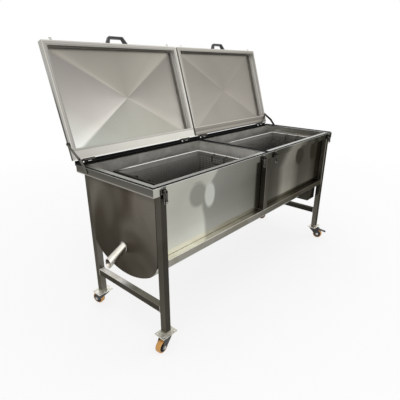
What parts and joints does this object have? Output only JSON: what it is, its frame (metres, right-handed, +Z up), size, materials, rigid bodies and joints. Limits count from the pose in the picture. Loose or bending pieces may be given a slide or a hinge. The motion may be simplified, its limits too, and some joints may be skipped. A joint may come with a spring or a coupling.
{
  "type": "steam wax melter",
  "caption": "Stainless trough on a castor frame, with hinged tray lids, lift-out perforated baskets, a heating element and wax spouts, for melting wax from honeycomb with steam.",
  "frame": {"origin": "middle of the floor area that the whole object covers with its lids open", "axes": "+X along the trough to the end with the terminal box, +Y to the hinge side, +Z up"},
  "size_m": [2.132, 0.9697, 1.6421],
  "materials": {
    "stainless_sheet": "bright",
    "lid_sheet": "bright brushed",
    "stainless_tube": "satin",
    "polished_fitting": "polished",
    "dark_lever": "satin",
    "perforated_sheet": "satin",
    "element_sheath": "dull",
    "black_gasket": "matte",
    "black_handle": "satin",
    "zinc_plate": "zinc plated",
    "black_fork": "satin",
    "wheel_core": "matte",
    "amber_tread": "smooth"
  },
  "bodies": {
    "frame": {"basket_bars": "stainless_tube", "castor_plates": "zinc_plate", "cross_rails": "stainless_tube", "divider": "stainless_sheet", "element_supports": "stainless_sheet", "end_rails": "stainless_tube", "heating_element": "element_sheath", "latch_bases": "polished_fitting", "leg_back_left": "stainless_tube", "leg_back_right": "stainless_tube", "leg_front_left": "stainless_tube", "leg_front_right": "stainless_tube", "lid_gaskets": "black_gasket", "long_rails": "stainless_tube", "mid_posts": "stainless_tube", "rim_cap": "stainless_sheet", "rim_hinges": "polished_fitting", "terminal_box": "stainless_sheet", "top_rail_back": "stainless_tube", "top_rail_front": "stainless_tube", "trough_end_left": "stainless_sheet", "trough_end_right": "stainless_sheet", "trough_shell": "stainless_sheet", "wax_spout_left": "polished_fitting", "wax_spout_right": "polished_fitting", "wax_trays": "stainless_sheet"},
    "lid_left": {"lid_left": "lid_sheet", "lid_left_handle": "black_handle", "lid_left_fittings": "polished_fitting"},
    "stay_left_lower": {"stay_left_lower_link": "polished_fitting"},
    "stay_left_upper": {"stay_left_upper_link": "polished_fitting"},
    "basket_left": {"basket_left": "perforated_sheet"},
    "lid_right": {"lid_right": "lid_sheet", "lid_right_handle": "black_handle", "lid_right_fittings": "polished_fitting"},
    "stay_right_lower": {"stay_right_lower_link": "polished_fitting"},
    "stay_right_upper": {"stay_right_upper_link": "polished_fitting"},
    "basket_right": {"basket_right": "perforated_sheet"},
    "latch_left_outer_lever": {"latch_left_outer_lever": "dark_lever"},
    "latch_left_outer_bail": {"latch_left_outer_bail": "polished_fitting"},
    "latch_left_inner_lever": {"latch_left_inner_lever": "dark_lever"},
    "latch_left_inner_bail": {"latch_left_inner_bail": "polished_fitting"},
    "latch_right_inner_lever": {"latch_right_inner_lever": "dark_lever"},
    "latch_right_inner_bail": {"latch_right_inner_bail": "polished_fitting"},
    "latch_right_outer_lever": {"latch_right_outer_lever": "dark_lever"},
    "latch_right_outer_bail": {"latch_right_outer_bail": "polished_fitting"},
    "castor_front_left_fork": {"castor_front_left_fork": "black_fork"},
    "castor_front_left_wheel": {"castor_front_left_wheel": "wheel_core", "castor_front_left_tyre": "amber_tread"},
    "castor_front_right_fork": {"castor_front_right_fork": "black_fork"},
    "castor_front_right_wheel": {"castor_front_right_wheel": "wheel_core", "castor_front_right_tyre": "amber_tread"},
    "castor_back_left_fork": {"castor_back_left_fork": "black_fork"},
    "castor_back_left_wheel": {"castor_back_left_wheel": "wheel_core", "castor_back_left_tyre": "amber_tread"},
    "castor_back_right_fork": {"castor_back_right_fork": "black_fork"},
    "castor_back_right_wheel": {"castor_back_right_wheel": "wheel_core", "castor_back_right_tyre": "amber_tread"},
    "castor_front_right_pedal": {"castor_front_right_brake_pedal": "black_fork"},
    "castor_back_right_pedal": {"castor_back_right_brake_pedal": "black_fork"}
  },
  "joints": [
    {"name": "lid_left_hinge", "type": "hinge", "parent": "frame", "child": "lid_left", "pos_m": [-0.50425, 0.25973, 0.974], "axis": [-1, 0, 0], "range_deg": [-107, 0]},
    {"name": "stay_left_lower_pivot", "type": "hinge", "parent": "frame", "child": "stay_left_lower", "pos_m": [-1.0005, 0.14573, 0.937], "axis": [-1, 0, 0], "range_deg": [-140.6, 0]},
    {"name": "stay_left_knee", "type": "hinge", "parent": "stay_left_lower", "child": "stay_left_upper", "pos_m": [-1.004, 0.20411, 1.00284], "axis": [-1, 0, 0], "range_deg": [0, 139]},
    {"name": "basket_left_lift", "type": "slide", "parent": "frame", "child": "basket_left", "axis": [0, 0, 1], "range_m": [0, 0.4]},
    {"name": "lid_right_hinge", "type": "hinge", "parent": "frame", "child": "lid_right", "pos_m": [0.50425, 0.25973, 0.974], "axis": [-1, 0, 0], "range_deg": [-107, 0]},
    {"name": "stay_right_lower_pivot", "type": "hinge", "parent": "frame", "child": "stay_right_lower", "pos_m": [1.0005, 0.14573, 0.937], "axis": [-1, 0, 0], "range_deg": [-140.6, 0]},
    {"name": "stay_right_knee", "type": "hinge", "parent": "stay_right_lower", "child": "stay_right_upper", "pos_m": [1.004, 0.20411, 1.00284], "axis": [-1, 0, 0], "range_deg": [0, 139]},
    {"name": "basket_right_lift", "type": "slide", "parent": "frame", "child": "basket_right", "axis": [0, 0, 1], "range_m": [0, 0.4]},
    {"name": "latch_left_outer_lever_pivot", "type": "hinge", "parent": "frame", "child": "latch_left_outer_lever", "pos_m": [-0.936, -0.40377, 0.942], "axis": [-1, 0, 0], "range_deg": [0, 150]},
    {"name": "latch_left_outer_bail_pivot", "type": "hinge", "parent": "latch_left_outer_lever", "child": "latch_left_outer_bail", "pos_m": [-0.936, -0.40777, 0.932], "axis": [1, 0, 0], "range_deg": [-180, 0]},
    {"name": "latch_left_inner_lever_pivot", "type": "hinge", "parent": "frame", "child": "latch_left_inner_lever", "pos_m": [-0.0725, -0.40377, 0.942], "axis": [-1, 0, 0], "range_deg": [0, 150]},
    {"name": "latch_left_inner_bail_pivot", "type": "hinge", "parent": "latch_left_inner_lever", "child": "latch_left_inner_bail", "pos_m": [-0.0725, -0.40777, 0.932], "axis": [1, 0, 0], "range_deg": [-180, 0]},
    {"name": "latch_right_inner_lever_pivot", "type": "hinge", "parent": "frame", "child": "latch_right_inner_lever", "pos_m": [0.0725, -0.40377, 0.942], "axis": [-1, 0, 0], "range_deg": [0, 150]},
    {"name": "latch_right_inner_bail_pivot", "type": "hinge", "parent": "latch_right_inner_lever", "child": "latch_right_inner_bail", "pos_m": [0.0725, -0.40777, 0.932], "axis": [1, 0, 0], "range_deg": [-180, 0]},
    {"name": "latch_right_outer_lever_pivot", "type": "hinge", "parent": "frame", "child": "latch_right_outer_lever", "pos_m": [0.936, -0.40377, 0.942], "axis": [-1, 0, 0], "range_deg": [0, 150]},
    {"name": "latch_right_outer_bail_pivot", "type": "hinge", "parent": "latch_right_outer_lever", "child": "latch_right_outer_bail", "pos_m": [0.936, -0.40777, 0.932], "axis": [1, 0, 0], "range_deg": [-180, 0]},
    {"name": "castor_front_left_swivel", "type": "hinge", "parent": "frame", "child": "castor_front_left_fork", "pos_m": [-0.938, -0.37177, 0.09], "axis": [0, 0, 1], "continuous": true},
    {"name": "castor_front_left_roll", "type": "hinge", "parent": "castor_front_left_fork", "child": "castor_front_left_wheel", "pos_m": [-0.97778, -0.37595, 0.0375], "axis": [-0.1045, 0.9945, 0], "continuous": true},
    {"name": "castor_front_right_swivel", "type": "hinge", "parent": "frame", "child": "castor_front_right_fork", "pos_m": [0.938, -0.37177, 0.09], "axis": [0, 0, 1], "continuous": true},
    {"name": "castor_front_right_roll", "type": "hinge", "parent": "castor_front_right_fork", "child": "castor_front_right_wheel", "pos_m": [0.94835, -0.41041, 0.0375], "axis": [-0.9659, -0.2588, 0], "continuous": true},
    {"name": "castor_front_right_brake", "type": "hinge", "parent": "castor_front_right_fork", "child": "castor_front_right_pedal", "pos_m": [0.94991, -0.4162, 0.082], "axis": [0.9659, 0.2588, 0], "range_deg": [0, 10]},
    {"name": "castor_back_left_swivel", "type": "hinge", "parent": "frame", "child": "castor_back_left_fork", "pos_m": [-0.938, 0.22923, 0.09], "axis": [0, 0, 1], "continuous": true},
    {"name": "castor_back_left_roll", "type": "hinge", "parent": "castor_back_left_fork", "child": "castor_back_left_wheel", "pos_m": [-0.94835, 0.26787, 0.0375], "axis": [0.9659, 0.2588, 0], "continuous": true},
    {"name": "castor_back_right_swivel", "type": "hinge", "parent": "frame", "child": "castor_back_right_fork", "pos_m": [0.938, 0.22923, 0.09], "axis": [0, 0, 1], "continuous": true},
    {"name": "castor_back_right_roll", "type": "hinge", "parent": "castor_back_right_fork", "child": "castor_back_right_wheel", "pos_m": [0.97264, 0.20923, 0.0375], "axis": [-0.5, -0.866, 0], "continuous": true},
    {"name": "castor_back_right_brake", "type": "hinge", "parent": "castor_back_right_fork", "child": "castor_back_right_pedal", "pos_m": [0.97784, 0.20623, 0.082], "axis": [0.5, 0.866, 0], "range_deg": [0, 10]}
  ],
  "couplings": [
    {"joint": "stay_left_lower_pivot", "follows": "lid_left_hinge", "ratio": 1.314},
    {"joint": "stay_left_knee", "follows": "lid_left_hinge", "ratio": -1.299},
    {"joint": "stay_right_lower_pivot", "follows": "lid_right_hinge", "ratio": 1.314},
    {"joint": "stay_right_knee", "follows": "lid_right_hinge", "ratio": -1.299}
  ]
}
